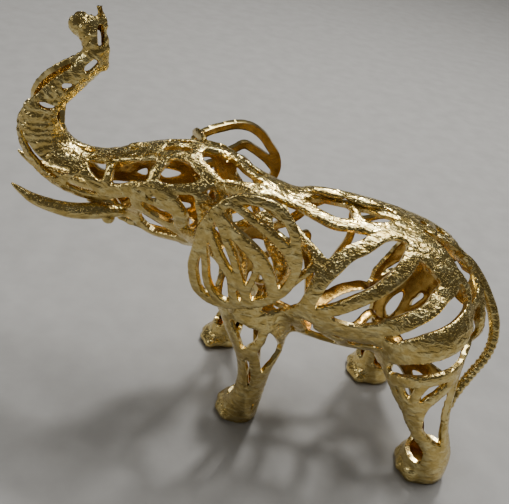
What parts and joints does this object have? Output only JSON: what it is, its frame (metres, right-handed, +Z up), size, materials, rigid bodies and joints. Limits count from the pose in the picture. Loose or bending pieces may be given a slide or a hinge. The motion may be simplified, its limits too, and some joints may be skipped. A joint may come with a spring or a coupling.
{
  "type": "openwork elephant figurine",
  "caption": "Hollow cast metal elephant standing with its trunk raised, its skin pierced all over into flowing straps.",
  "frame": {"origin": "on the ground under the middle of the figurine's box", "axes": "+Z up from the soles, -X where the elephant looks, -Y on its left side"},
  "size_m": [0.303, 0.1124, 0.2369],
  "materials": {
    "elephant": "bright gold plate over a crinkled cast surface, smooth inside"
  },
  "bodies": {
    "root": {"elephant": "elephant"}
  },
  "joints": []
}
